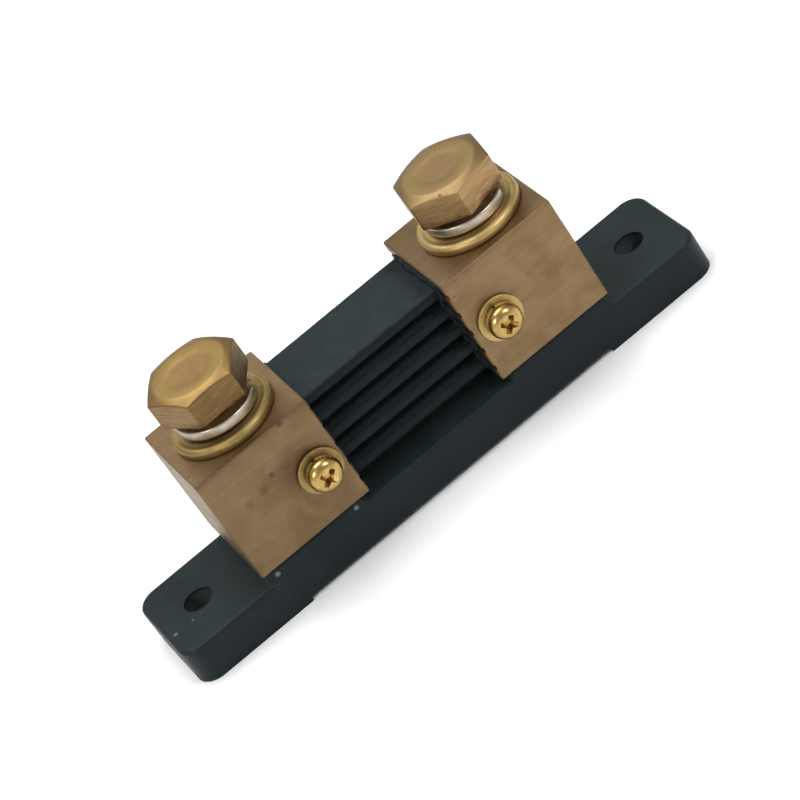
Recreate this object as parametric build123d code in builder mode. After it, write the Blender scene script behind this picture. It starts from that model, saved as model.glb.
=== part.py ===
"""Battery monitor shunt: a stack of resistor plates between two brass terminal blocks on a moulded base.

Millimetres, +Z up.  The origin is the centre of the base's footprint, on the surface it stands on.
+X runs along the base and the current path; the sense screws face -Y.
"""
from build123d import *
import math
import os

os.makedirs("parts", exist_ok=True)

# ---------------------------------------------------------------- driving dimensions
# Moulded base
base_length = 120.0
base_width = 24.4
base_corner_radius = 4.0
ear_height = 7.9            # the lugs that carry the mounting holes
bridge_height = 9.0         # the stretch under the resistor plates
seat_height = 10.5          # the two raised seats under the blocks
seat_length = 20.0
seat_outer_run = 1.9        # length of the slope from a seat down to its lug
seat_inner_run = 1.2        # and down to the bridge
seat_blend = 1.1            # rounds the top and foot of each slope
base_edge_round = 0.8
relief_length = 70.6        # shallow relief underneath, which leaves a foot at each end
relief_depth = 1.0
mounting_pitch = 102.0
mounting_hole_diameter = 6.0

# Terminal blocks, cut from brass bar
block_gap = 31.0
block_length = 24.8
block_height = 23.6
block_setback = 0.0         # how far the block's faces stand inside the base's long sides
block_edge_break = 0.25

# Resistor plates, soldered into slots in the blocks' inner faces
plate_count = 5
plate_thickness = 2.0
plate_pitch = 4.45
plate_drop = 1.6            # top of the block to the top of the first plate
plate_width = 17.4
plate_shift = -0.4          # the stack sits this far off the blocks' middle, towards the sense screws
plate_engagement = 2.2      # length of plate inside each block
plate_edge_round = 0.4
solder_gap = 0.05           # film between a plate and its slot
saw_groove_depth = 0.28     # shallow groove left by the saw across the inner face at each slot
saw_groove_width = 1.2

# Terminal bolts
bolt_diameter = 10.0
bolt_pitch = 1.5
bolt_length = 20.0
bolt_head_flats = 17.0
bolt_head_height = 6.4
bolt_crown_diameter = 14.4  # flat circle on top of the head, inside the chamfer
bolt_crown_angle = 20.0
bolt_dimple_diameter = 9.0
bolt_dimple_depth = 0.2
bolt_dimple_taper = 60.0    # the dish's wall leans out this far from upright
left_bolt_turned = 0.0      # how the left head's flats stand to the long sides
right_bolt_turned = 22.0
left_bolt_offset = -0.2     # outboard of the block's middle
right_bolt_offset = 1.4
bolt_hole_depth = 18.0
washer_diameter = 20.5
washer_thickness = 2.0
washer_edge_round = 0.6
spring_section_width = 2.9
spring_section_height = 2.1
left_spring_rise = 2.2      # how far the coil still stands open
right_spring_rise = 1.8
spring_gap_angle = 12.0     # the split, seen along the axis
left_split_angle = 335.0    # where the split stands, from +X
right_split_angle = 325.0

# Sense screws on the front faces
sense_diameter = 4.0
sense_pitch = 0.7
sense_length = 8.0
sense_head_diameter = 6.8
sense_head_height = 2.3
sense_head_round = 1.9
sense_recess_width = 1.1
sense_recess_span = 3.8
sense_recess_depth = 1.5
left_sense_inset = 5.1      # from the block's inner face
left_sense_height = 10.4    # above the block's underside
right_sense_inset = 5.9
right_sense_height = 11.1
sense_hole_depth = 7.4
sense_washer_diameter = 9.0
sense_washer_thickness = 0.7
sense_spring_width = 1.2
sense_spring_height = 0.9
sense_spring_rise = 0.15
sense_split_angle = 95.0

# Screws that hold the blocks down, driven from underneath
base_screw_diameter = 4.0
base_screw_spacing = 15.0
base_screw_grip = 6.0       # length inside the block
base_screw_head_diameter = 7.0
base_screw_head_height = 2.6
base_screw_head_recess = 0.8   # head below the relief
base_screw_slot_width = 1.0
base_screw_slot_depth = 1.2

# Clearances
bolt_clearance = 0.05       # radial, thread form left out
screw_clearance = 0.05
head_pocket_clearance = 0.4
bolt_washer_play = 0.5      # how much wider than the bolt its washers are bored
sense_washer_play = 0.3
seating_gap = 0.02          # between a spring washer's ends and what they press on
edge_break = 0.15

# ---------------------------------------------------------------- worked out from them
block_depth = base_width - 2 * block_setback
block_centre = block_gap / 2 + block_length / 2
block_top = seat_height + block_height
plate_length = block_gap + 2 * plate_engagement
bolt_washer_bore = bolt_diameter + bolt_washer_play
sense_washer_bore = sense_diameter + sense_washer_play
plate_tops = [block_top - plate_drop - k * plate_pitch for k in range(plate_count)]
spring_bottom = block_top + washer_thickness
closed_spring_top = spring_bottom + spring_section_height + 2 * seating_gap
front_face = -block_depth / 2
bolt_radius = bolt_diameter / 2
sense_radius = sense_diameter / 2
base_screw_radius = base_screw_diameter / 2
sides = {
    "left": dict(
        sign=-1,
        bolt_x=-(block_centre + left_bolt_offset),
        bolt_turned=left_bolt_turned,
        spring_rise=left_spring_rise,
        split=left_split_angle,
        sense_x=-(block_gap / 2 + left_sense_inset),
        sense_z=seat_height + left_sense_height,
    ),
    "right": dict(
        sign=1,
        bolt_x=block_centre + right_bolt_offset,
        bolt_turned=right_bolt_turned,
        spring_rise=right_spring_rise,
        split=right_split_angle,
        sense_x=block_gap / 2 + right_sense_inset,
        sense_z=seat_height + right_sense_height,
    ),
}


def save(builder, name):
    """Label one finished piece and write its STEP file."""
    builder.part.label = name
    export_step(builder.part, f"parts/{name}.step")


def make_block_box(side):
    """One block as plain stock, standing on its seat with its edges just broken."""
    with BuildPart() as stock:
        with BuildSketch(Plane.XY.offset(seat_height)):
            with Locations((side["sign"] * block_centre, 0)):
                Rectangle(block_length, block_depth)
        extrude(amount=block_height)
        chamfer(stock.edges(), block_edge_break)
    return stock.part


def make_spring_washer(mean_radius, width, height, rise, split_angle):
    """A left-hand split ring about Z: its low end lies on z=0, its high end tops out at height + rise."""
    sweep_angle = 360 - spring_gap_angle
    helix_pitch = rise * 360 / sweep_angle
    start = split_angle - spring_gap_angle / 2
    with BuildPart() as ring:
        with BuildLine() as path:
            Helix(helix_pitch, rise, mean_radius, lefthand=True)
        with BuildSketch(Plane((mean_radius, 0, 0), x_dir=(1, 0, 0), z_dir=(0, -1, 0))):
            Rectangle(width, height)
        sweep(path=path.line, is_frenet=True)
    return ring.part.rotate(Axis.Z, start).moved(Location((0, 0, height / 2)))


# ---------------------------------------------------------------- base
seat_outer = block_centre + seat_length / 2
seat_inner = block_centre - seat_length / 2
right_outline = [
    (0, bridge_height),
    (seat_inner - seat_inner_run, bridge_height),
    (seat_inner, seat_height),
    (seat_outer, seat_height),
    (seat_outer + seat_outer_run, ear_height),
    (base_length / 2, ear_height),
    (base_length / 2, 0),
]
left_outline = [(-x, z) for x, z in reversed(right_outline)]
with BuildPart() as base:
    # the outline seen from the front, as wide as the base
    with BuildSketch(Plane.XZ.offset(-base_width / 2)) as front_outline:
        with BuildLine():
            Polyline(*left_outline, *right_outline[1:], close=True)
        make_face()
        steps = front_outline.vertices().filter_by(lambda v: v.Y > 0 and abs(v.X) < base_length / 2)
        fillet(steps, seat_blend)
    extrude(amount=base_width)
    # rounded in plan
    with BuildSketch(Plane.XY):
        RectangleRounded(base_length, base_width, base_corner_radius)
    extrude(amount=seat_height, mode=Mode.INTERSECT)
    # one soft edge all round the top
    walls = base.faces().filter_by(lambda f: abs(f.normal_at().Z) < 0.01)
    top_rim = walls.edges().filter_by(
        lambda e: e.center().Z > ear_height - edge_break and abs(e.tangent_at(0.5).Z) < 0.99
    )
    fillet(top_rim, base_edge_round)
    # relief underneath
    with BuildSketch(Plane.XY):
        Rectangle(relief_length, base_width)
    extrude(amount=relief_depth, mode=Mode.SUBTRACT)
    # mounting holes through the lugs
    with Locations((-mounting_pitch / 2, 0, ear_height), (mounting_pitch / 2, 0, ear_height)):
        Hole(mounting_hole_diameter / 2)
    # clearance holes for the screws from underneath, with pockets for their heads
    for side in sides.values():
        with BuildSketch(Plane.XY.offset(relief_depth)):
            with Locations((side["sign"] * block_centre, 0)):
                with GridLocations(0, base_screw_spacing, 1, 2):
                    Circle(base_screw_radius + screw_clearance)
        extrude(amount=base_width, mode=Mode.SUBTRACT)
        with BuildSketch(Plane.XY.offset(relief_depth)):
            with Locations((side["sign"] * block_centre, 0)):
                with GridLocations(0, base_screw_spacing, 1, 2):
                    Circle(base_screw_head_diameter / 2 + head_pocket_clearance)
        extrude(amount=base_screw_head_recess + base_screw_head_height, mode=Mode.SUBTRACT)
save(base, "base")

# ---------------------------------------------------------------- terminal blocks
for side_name, side in sides.items():
    inner_face = side["sign"] * block_gap / 2
    with BuildPart() as block:
        add(make_block_box(side))
        # slots for the plates, and the shallow groove the saw leaves across the face
        for plate_top in plate_tops:
            with Locations((inner_face, plate_shift, plate_top - plate_thickness / 2)):
                Box(
                    2 * (plate_engagement + solder_gap),
                    plate_width + 2 * solder_gap,
                    plate_thickness + 2 * solder_gap,
                    mode=Mode.SUBTRACT,
                )
            with Locations((inner_face, 0, plate_top - plate_thickness / 2)):
                Box(2 * saw_groove_depth, 2 * block_depth, saw_groove_width, mode=Mode.SUBTRACT)
        # bolt hole from the top
        with Locations((side["bolt_x"], 0, block_top)):
            Hole(bolt_radius + bolt_clearance, depth=bolt_hole_depth)
        # sense screw hole from the front
        with BuildSketch(Plane.XZ.offset(-front_face)):
            with Locations((side["sense_x"], side["sense_z"])):
                Circle(sense_radius + screw_clearance)
        extrude(amount=-sense_hole_depth, mode=Mode.SUBTRACT)
        # holes underneath for the base screws
        with BuildSketch(Plane.XY.offset(seat_height)):
            with Locations((side["sign"] * block_centre, 0)):
                with GridLocations(0, base_screw_spacing, 1, 2):
                    Circle(base_screw_radius + screw_clearance)
        extrude(amount=base_screw_grip + 1, mode=Mode.SUBTRACT)
    save(block, f"{side_name}_terminal_block")

# ---------------------------------------------------------------- resistor plates
for number, plate_top in enumerate(plate_tops, start=1):
    with BuildPart() as plate:
        with BuildSketch(Plane.XY.offset(plate_top - plate_thickness)):
            with Locations((0, plate_shift)):
                Rectangle(plate_length, plate_width)
        extrude(amount=plate_thickness)
        fillet(plate.edges().filter_by(Axis.X), plate_edge_round)
    save(plate, f"resistor_plate_{number}")

# ---------------------------------------------------------------- terminal bolts and their washers
for side_name, side in sides.items():
    bolt_head_bottom = closed_spring_top + side["spring_rise"]
    crown_radius = bolt_crown_diameter / 2
    corner_radius = bolt_head_flats / math.sqrt(3)
    crown_drop = (corner_radius - crown_radius) * math.tan(math.radians(bolt_crown_angle))
    head_top = bolt_head_bottom + bolt_head_height
    with BuildPart() as bolt:
        with BuildSketch(Plane.XY.offset(bolt_head_bottom)):
            with Locations((side["bolt_x"], 0)):
                RegularPolygon(bolt_head_flats / 2, 6, major_radius=False, rotation=side["bolt_turned"])
        extrude(amount=bolt_head_height)
        # crown chamfer: everything outside a shallow cone is turned away
        with BuildSketch(Plane.XZ):
            with BuildLine():
                Polyline(
                    (side["bolt_x"], bolt_head_bottom - 1),
                    (side["bolt_x"] + corner_radius + 1, bolt_head_bottom - 1),
                    (
                        side["bolt_x"] + corner_radius + 1,
                        head_top - crown_drop - math.tan(math.radians(bolt_crown_angle)),
                    ),
                    (side["bolt_x"] + crown_radius, head_top),
                    (side["bolt_x"], head_top),
                    close=True,
                )
            make_face()
        revolve(axis=Axis((side["bolt_x"], 0, 0), (0, 0, 1)), mode=Mode.INTERSECT)
        # shallow dish left by forging
        with BuildSketch(Plane.XY.offset(head_top)):
            with Locations((side["bolt_x"], 0)):
                Circle(bolt_dimple_diameter / 2)
        extrude(amount=-bolt_dimple_depth, taper=bolt_dimple_taper, mode=Mode.SUBTRACT)
        with BuildSketch(Plane.XY.offset(bolt_head_bottom)):
            with Locations((side["bolt_x"], 0)):
                Circle(bolt_radius)
        extrude(amount=-bolt_length)
        chamfer(bolt.faces().sort_by(Axis.Z)[0].edges(), bolt_pitch / 2)
    save(bolt, f"{side_name}_terminal_bolt")

    with BuildPart() as washer:
        with BuildSketch(Plane.XY.offset(block_top)):
            with Locations((side["bolt_x"], 0)):
                Circle(washer_diameter / 2)
                Circle(bolt_washer_bore / 2, mode=Mode.SUBTRACT)
        extrude(amount=washer_thickness)
        outer_edges = washer.edges().filter_by(GeomType.CIRCLE).filter_by(
            lambda e: e.radius > bolt_washer_bore / 2 + 1
        )
        fillet(outer_edges, washer_edge_round)
    save(washer, f"{side_name}_flat_washer")

    spring = make_spring_washer(
        (bolt_washer_bore + spring_section_width) / 2,
        spring_section_width,
        spring_section_height,
        side["spring_rise"],
        side["split"],
    )
    with BuildPart() as spring_washer:
        with Locations((side["bolt_x"], 0, spring_bottom + seating_gap)):
            add(spring)
    save(spring_washer, f"{side_name}_spring_washer")

# ---------------------------------------------------------------- sense screws and their washers
for side_name, side in sides.items():
    washer_front = front_face - sense_washer_thickness
    spring_front = washer_front - sense_spring_height - sense_spring_rise - 2 * seating_gap
    on_face = Plane(origin=(side["sense_x"], front_face, side["sense_z"]), x_dir=(1, 0, 0), z_dir=(0, -1, 0))
    under_head = front_face - spring_front

    with BuildPart() as screw:
        with BuildSketch(on_face.offset(under_head)):
            Circle(sense_head_diameter / 2)
        extrude(amount=sense_head_height)
        fillet(screw.edges().sort_by(Axis.Y)[0], sense_head_round)
        with BuildSketch(on_face.offset(under_head)):
            Circle(sense_radius)
        extrude(amount=-sense_length)
        # cross recess
        with BuildSketch(on_face.offset(under_head + sense_head_height)):
            Rectangle(sense_recess_span, sense_recess_width)
            Rectangle(sense_recess_width, sense_recess_span)
        extrude(amount=-sense_recess_depth, mode=Mode.SUBTRACT, taper=12)
        chamfer(screw.faces().sort_by(Axis.Y)[-1].edges(), sense_pitch / 2)
    save(screw, f"{side_name}_sense_screw")

    with BuildPart() as sense_washer:
        with BuildSketch(on_face):
            Circle(sense_washer_diameter / 2)
            Circle(sense_washer_bore / 2, mode=Mode.SUBTRACT)
        extrude(amount=sense_washer_thickness)
        rims = sense_washer.edges().filter_by(GeomType.CIRCLE).filter_by(
            lambda e: e.radius > sense_washer_bore / 2 + 1
        )
        fillet(rims, edge_break)
    save(sense_washer, f"{side_name}_sense_flat_washer")

    sense_spring = make_spring_washer(
        (sense_washer_bore + sense_spring_width) / 2,
        sense_spring_width,
        sense_spring_height,
        sense_spring_rise,
        sense_split_angle,
    )
    with BuildPart() as sense_spring_washer:
        with Locations(on_face.offset(sense_washer_thickness + seating_gap)):
            add(sense_spring)
    save(sense_spring_washer, f"{side_name}_sense_spring_washer")

# ---------------------------------------------------------------- base screws
for side_name, side in sides.items():
    for place, y in (("front", -base_screw_spacing / 2), ("back", base_screw_spacing / 2)):
        head_bottom = relief_depth + base_screw_head_recess
        head_seat = head_bottom + base_screw_head_height
        centre = (side["sign"] * block_centre, y)
        with BuildPart() as base_screw:
            with BuildSketch(Plane.XY.offset(head_bottom)):
                with Locations(centre):
                    Circle(base_screw_head_diameter / 2)
            extrude(amount=base_screw_head_height)
            fillet(base_screw.edges().sort_by(Axis.Z)[0], base_screw_head_height / 3)
            with BuildSketch(Plane.XY.offset(head_seat)):
                with Locations(centre):
                    Circle(base_screw_radius)
            extrude(amount=seat_height + base_screw_grip - head_seat)
            with BuildSketch(Plane.XY.offset(head_bottom)):
                with Locations(centre):
                    Rectangle(base_screw_head_diameter, base_screw_slot_width, rotation=30 * side["sign"])
            extrude(amount=base_screw_slot_depth, mode=Mode.SUBTRACT)
        save(base_screw, f"{side_name}_{place}_base_screw")
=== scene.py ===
# %% [markdown]
# # A battery monitor shunt
# The object is a precision resistor: five flat plates soldered between two brass blocks, bolted to a black
# moulded base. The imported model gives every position, so this lesson starts by loading it as a frame.
# Anything kept from the frame only gets a finish; anything made here takes its sizes from the frame's pieces.

# %% Load the frame
import math
import bpy
from mathutils import Vector, Matrix


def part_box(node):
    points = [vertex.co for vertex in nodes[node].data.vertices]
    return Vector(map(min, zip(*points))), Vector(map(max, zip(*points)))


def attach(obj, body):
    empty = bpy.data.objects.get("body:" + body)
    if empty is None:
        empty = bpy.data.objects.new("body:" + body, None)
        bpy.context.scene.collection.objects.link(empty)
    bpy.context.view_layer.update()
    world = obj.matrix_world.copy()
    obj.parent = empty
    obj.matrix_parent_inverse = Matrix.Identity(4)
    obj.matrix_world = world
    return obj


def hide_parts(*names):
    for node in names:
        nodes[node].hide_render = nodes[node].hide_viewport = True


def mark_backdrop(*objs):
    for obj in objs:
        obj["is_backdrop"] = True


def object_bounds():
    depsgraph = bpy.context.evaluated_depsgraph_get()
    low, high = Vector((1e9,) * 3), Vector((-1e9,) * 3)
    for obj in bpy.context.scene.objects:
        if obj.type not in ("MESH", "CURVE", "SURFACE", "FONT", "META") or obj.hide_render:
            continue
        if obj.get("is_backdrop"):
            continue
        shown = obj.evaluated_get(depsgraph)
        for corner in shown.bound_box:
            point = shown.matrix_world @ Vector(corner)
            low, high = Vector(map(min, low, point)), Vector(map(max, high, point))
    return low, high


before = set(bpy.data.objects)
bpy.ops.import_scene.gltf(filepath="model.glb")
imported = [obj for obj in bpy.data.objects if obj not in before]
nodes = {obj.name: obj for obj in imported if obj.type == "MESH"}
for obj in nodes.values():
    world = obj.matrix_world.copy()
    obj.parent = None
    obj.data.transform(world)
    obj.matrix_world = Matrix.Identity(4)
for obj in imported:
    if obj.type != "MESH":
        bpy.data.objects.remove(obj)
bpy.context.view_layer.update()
MM = 0.001
SIDES = ("left", "right")

# %% [markdown]
# ## Camera
# The object is shown from above its front edge with the picture turned, so that it lies on a slant. A long
# lens far away keeps the blocks' edges nearly parallel. The view is set by angles around a point near the
# middle of the stack, because those are the numbers that one would read off a tripod.

# %% Camera
AZIMUTH = math.radians(-7.884)
ELEVATION = math.radians(33.419)
ROLL = math.radians(4.802 - 40.0)
DISTANCE = 0.7057
AIM = Vector((-0.00014, 0.0, 0.01333))
FOCAL = 175.76

towards = Vector((
    math.sin(AZIMUTH) * math.cos(ELEVATION),
    -math.cos(AZIMUTH) * math.cos(ELEVATION),
    math.sin(ELEVATION),
))
across = (-towards).cross(Vector((0, 0, 1))).normalized()
upright = across.cross(-towards)
right = across * math.cos(ROLL) + upright * math.sin(ROLL)
up = upright * math.cos(ROLL) - across * math.sin(ROLL)

camera = bpy.data.objects.new("camera", bpy.data.cameras.new("camera"))
bpy.context.collection.objects.link(camera)
camera.data.lens = FOCAL
camera.data.sensor_width = 36.0
camera.data.clip_start = 0.01
camera.data.clip_end = 10.0
facing = Matrix((right, up, towards)).transposed().to_4x4()
camera.matrix_world = Matrix.Translation(AIM + towards * DISTANCE) @ facing
bpy.context.scene.camera = camera
print("camera at", [round(v, 4) for v in camera.matrix_world.translation])

# %% [markdown]
# ## Studio
# A pale floor and a white room, as on a packshot table. Metal shows what surrounds it, so the room is not
# one even white: a big soft box overhead lights the tops, and two narrower ones, at the front left and
# the front right, draw the highlights along the washers and the small screws.

# %% Floor and room
def plain_mesh(name, points, faces):
    """An object straight from points and faces."""
    mesh = bpy.data.meshes.new(name)
    mesh.from_pydata(points, [], faces)
    mesh.validate()
    made = bpy.data.objects.new(name, mesh)
    bpy.context.collection.objects.link(made)
    return made


def flat_finish(name, colour, roughness):
    """A plain finish for what isn't part of the object."""
    made = bpy.data.materials.new(name)
    made.use_nodes = True
    shader = made.node_tree.nodes["Principled BSDF"]
    shader.inputs["Base Color"].default_value = (*colour, 1)
    shader.inputs["Roughness"].default_value = roughness
    return made


REACH = 3.0
floor = plain_mesh(
    "floor",
    [(-REACH, -REACH, 0), (REACH, -REACH, 0), (REACH, REACH, 0), (-REACH, REACH, 0)],
    [(0, 1, 2, 3)],
)
floor.data.materials.append(flat_finish("floor_paper", (0.93, 0.93, 0.93), 0.9))

world = bpy.data.worlds.new("studio")
world.use_nodes = True
room = world.node_tree
backdrop = room.nodes["Background"]
direction = room.nodes.new("ShaderNodeTexCoord")
height = room.nodes.new("ShaderNodeSeparateXYZ")
walls = room.nodes.new("ShaderNodeValToRGB")
walls.color_ramp.elements[0].position = 0.02
walls.color_ramp.elements[0].color = (0.85, 0.85, 0.85, 1)
walls.color_ramp.elements[1].position = 0.34
walls.color_ramp.elements[1].color = (0.4, 0.4, 0.4, 1)
room.links.new(direction.outputs["Generated"], height.inputs["Vector"])
room.links.new(height.outputs["Z"], walls.inputs["Fac"])
room.links.new(walls.outputs["Color"], backdrop.inputs["Color"])
backdrop.inputs["Strength"].default_value = 1.0
bpy.context.scene.world = world
bpy.context.scene.view_settings.view_transform = "Standard"

# %% Soft boxes
def soft_box(name, place, size, power):
    """A square lamp at a place in metres, turned to the middle of the object."""
    lamp = bpy.data.lights.new(name, "AREA")
    lamp.shape = "SQUARE"
    lamp.size = size
    lamp.energy = power
    made = bpy.data.objects.new(name, lamp)
    bpy.context.collection.objects.link(made)
    made.location = place
    made.rotation_euler = (Vector((0, 0, 0.02)) - Vector(place)).to_track_quat("-Z", "Y").to_euler()
    return made


boxes = [
    soft_box("overhead_box", (-0.05, 0.26, 0.90), 0.80, 8.2),
    soft_box("left_box", (-0.75, -0.45, 0.55), 0.30, 2.6),
    soft_box("right_box", (0.55, -0.60, 0.75), 0.25, 3.8),
]
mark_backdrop(floor, *boxes)
print("lamps", [b.name for b in boxes])

# %% [markdown]
# ## A small kit for finishes
# Every finish here is procedural: noise in the piece's own coordinates drives colour, roughness and bump.
# The same moves come back each time, so they are written once: coordinates in millimetres, a noise, a ramp
# that turns it into a number or colour, a mix of two colours, a mark around a point, a fade along an axis,
# and a bump.

# %% Node moves
def new_node(tree, kind, values=None, **settings):
    """A node with its settings made and the values of its sockets given by name or number."""
    made = tree.nodes.new(kind)
    for key, value in settings.items():
        setattr(made, key, value)
    for key, value in (values or {}).items():
        made.inputs[key].default_value = value
    return made


def link_all(tree, *pairs):
    """Links each source to its target."""
    for source, target in pairs:
        tree.links.new(source, target)


def maths(tree, operation, *values):
    """A Math node with its values set or linked; returns its output."""
    made = new_node(tree, "ShaderNodeMath", operation=operation)
    for socket, value in zip(made.inputs, values):
        if isinstance(value, (int, float)):
            socket.default_value = value
        else:
            tree.links.new(value, socket)
    return made.outputs["Value"]


# %% Finish kit
class Finish:
    """One material and the node moves that build it up."""

    def __init__(self, name, metallic, roughness, specular=0.5):
        self.material = bpy.data.materials.new(name)
        self.material.use_nodes = True
        self.tree = self.material.node_tree
        self.shader = self.tree.nodes["Principled BSDF"]
        self.shader.inputs["Metallic"].default_value = metallic
        self.shader.inputs["Roughness"].default_value = roughness
        self.shader.inputs["Specular IOR Level"].default_value = specular

    def node(self, kind, values=None, **settings):
        return new_node(self.tree, kind, values, **settings)

    def join(self, source, target):
        self.tree.links.new(source, target)

    def place(self, stretch=(1, 1, 1)):
        """Object coordinates in millimetres, squeezed along each axis by stretch."""
        coordinates = self.node("ShaderNodeTexCoord")
        mapping = self.node("ShaderNodeMapping", {"Scale": [s / MM for s in stretch]})
        self.join(coordinates.outputs["Object"], mapping.inputs["Vector"])
        return mapping.outputs["Vector"]

    def attribute(self, name):
        return self.node("ShaderNodeAttribute", attribute_name=name).outputs["Fac"]

    def noise(self, place, scale, detail=3.0, rough=0.55, distortion=0.0):
        values = {"Scale": scale, "Detail": detail, "Roughness": rough, "Distortion": distortion}
        made = self.node("ShaderNodeTexNoise", values)
        self.join(place, made.inputs["Vector"])
        return made.outputs["Fac"]

    def specks(self, place, scale, size):
        """1 inside scattered dots, 0 outside."""
        cells = self.node("ShaderNodeTexVoronoi", {"Scale": scale})
        self.join(place, cells.inputs["Vector"])
        return self.ramp(cells.outputs["Distance"], [(size * 0.6, 1.0), (size, 0.0)])

    def ramp(self, value, stops):
        """Turns a number into another number, or into a colour where the stops are colours."""
        made = self.node("ShaderNodeValToRGB")
        elements = made.color_ramp.elements
        while len(elements) < len(stops):
            elements.new(0.5)
        for element, (at, shade) in zip(elements, stops):
            element.position = at
            element.color = (*shade, 1) if isinstance(shade, tuple) else (shade, shade, shade, 1)
        self.join(value, made.inputs["Fac"])
        return made.outputs["Color"]

    def arithmetic(self, operation, first, second):
        return maths(self.tree, operation, first, second)

    def times(self, first, second):
        return self.arithmetic("MULTIPLY", first, second)

    def mix(self, amount, first, second, kind="MIX"):
        made = self.node("ShaderNodeMix", data_type="RGBA", blend_type=kind)
        for socket, value in ((made.inputs[0], amount), (made.inputs[6], first), (made.inputs[7], second)):
            if isinstance(value, tuple):
                socket.default_value = (*value, 1)
            elif isinstance(value, (int, float)):
                socket.default_value = value
            else:
                self.join(value, socket)
        return made.outputs[2]

    def around(self, point, reach):
        """1 at a point in metres, fading to 0 at reach."""
        coordinates = self.node("ShaderNodeTexCoord")
        distance = self.node("ShaderNodeVectorMath", {1: point}, operation="DISTANCE")
        self.join(coordinates.outputs["Object"], distance.inputs[0])
        values = {"From Min": 0.0, "From Max": reach, "To Min": 1.0, "To Max": 0.0}
        fade = self.node("ShaderNodeMapRange", values, interpolation_type="SMOOTHSTEP")
        self.join(distance.outputs["Value"], fade.inputs["Value"])
        return fade.outputs["Result"]

    def fade(self, axis, start, end):
        """0 below start and 1 above end along one axis, both in millimetres."""
        parts = self.node("ShaderNodeSeparateXYZ")
        self.join(self.place(), parts.inputs["Vector"])
        values = {"From Min": start, "From Max": end}
        made = self.node("ShaderNodeMapRange", values, interpolation_type="SMOOTHSTEP")
        self.join(parts.outputs[axis], made.inputs["Value"])
        return made.outputs["Result"]

    def colour(self, value):
        self.join(value, self.shader.inputs["Base Color"])

    def rough(self, value):
        self.join(value, self.shader.inputs["Roughness"])

    def bump(self, height, depth_mm, before=None):
        """Raises the surface by up to depth_mm where height is 1; before is an earlier bump to build on."""
        made = self.node("ShaderNodeBump", {"Strength": 1.0, "Distance": depth_mm * MM})
        self.join(height, made.inputs["Height"])
        if before is not None:
            self.join(before, made.inputs["Normal"])
        self.join(made.outputs["Normal"], self.shader.inputs["Normal"])
        return made.outputs["Normal"]


def give(finish, *names):
    """Puts a finish on frame pieces."""
    for name in names:
        materials = nodes[name].data.materials
        materials.clear()
        materials.append(finish.material)


def tell(finish):
    print("finish", finish.material.name, len(finish.tree.nodes), "nodes")


GREY = "MULTIPLY"   # the blend that darkens a colour by a grey


# %% [markdown]
# ## Moulded base
# The base is satin black thermoset, a little blue-green where light grazes it, with a faint orange-peel
# skin and pale dust specks. Its front face is darkened as painted shade, two corners carry painted
# highlights with two pale spots on the left lug, and screws have scuffed the mounting holes' walls.
# The frame's own base already has every radius, so it only needs a finish. Bump carries the skin, since its
# hollows are a few hundredths of a millimetre.

# %% Base finish
base_finish = Finish("base_moulding", metallic=0.0, roughness=0.42, specular=0.13)
fine = base_finish.place()
peel = base_finish.noise(fine, 2.2, 4.0, 0.6)
cloud = base_finish.noise(fine, 0.12, 3.0, 0.6)
dust = base_finish.specks(fine, 0.55, 0.055)
dust_patches = base_finish.ramp(base_finish.noise(fine, 0.21, 2.0), [(0.5, 0.0), (0.62, 1.0)])
black = base_finish.ramp(cloud, [(0.3, (0.0095, 0.0165, 0.0175)), (0.7, (0.014, 0.0225, 0.0235))])
dusty = base_finish.times(dust, dust_patches)
shade = base_finish.mix(dusty, black, (0.12, 0.14, 0.14))
# painted shade: the front face is darkened, so it reads less lit than the top
front = base_finish.fade("Y", -11.4, -12.15)
shade = base_finish.mix(front, shade, base_finish.mix(1.0, shade, (0.78, 0.78, 0.8), GREY))
# pale spots, place and reach in millimetres: the first two are painted highlights where the seats' front
# corners round over, the other two lie on the left lug's top
PALE_SPOTS = (
    (-19.4, -12.2, 9.6, 0.7),
    (-37.7, -12.2, 9.4, 0.75),
    (-58.2, -4.1, 7.9, 0.6),
    (-54.2, -4.0, 7.9, 0.35),
)
for x, y, z, reach in PALE_SPOTS:
    pale_spot = base_finish.around((x * MM, y * MM, z * MM), reach * MM)
    shade = base_finish.mix(pale_spot, shade, (0.15, 0.18, 0.185))
# the mounting holes' walls
HOLE_X, LUG_TOP, WALL_REACH = 51.0, 7.9, 7.0
below_top = base_finish.fade("Z", LUG_TOP - 0.2, LUG_TOP - 0.7)
for x in (-HOLE_X, HOLE_X):
    wall = base_finish.around((x * MM, 0.0, LUG_TOP / 2 * MM), WALL_REACH * MM)
    wall = base_finish.times(wall, below_top)
    shade = base_finish.mix(wall, shade, (0.1, 0.12, 0.125))
base_finish.colour(shade)
base_finish.rough(base_finish.ramp(cloud, [(0.3, 0.36), (0.7, 0.5)]))
base_finish.bump(peel, 0.02)
give(base_finish, "base")
tell(base_finish)
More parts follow.
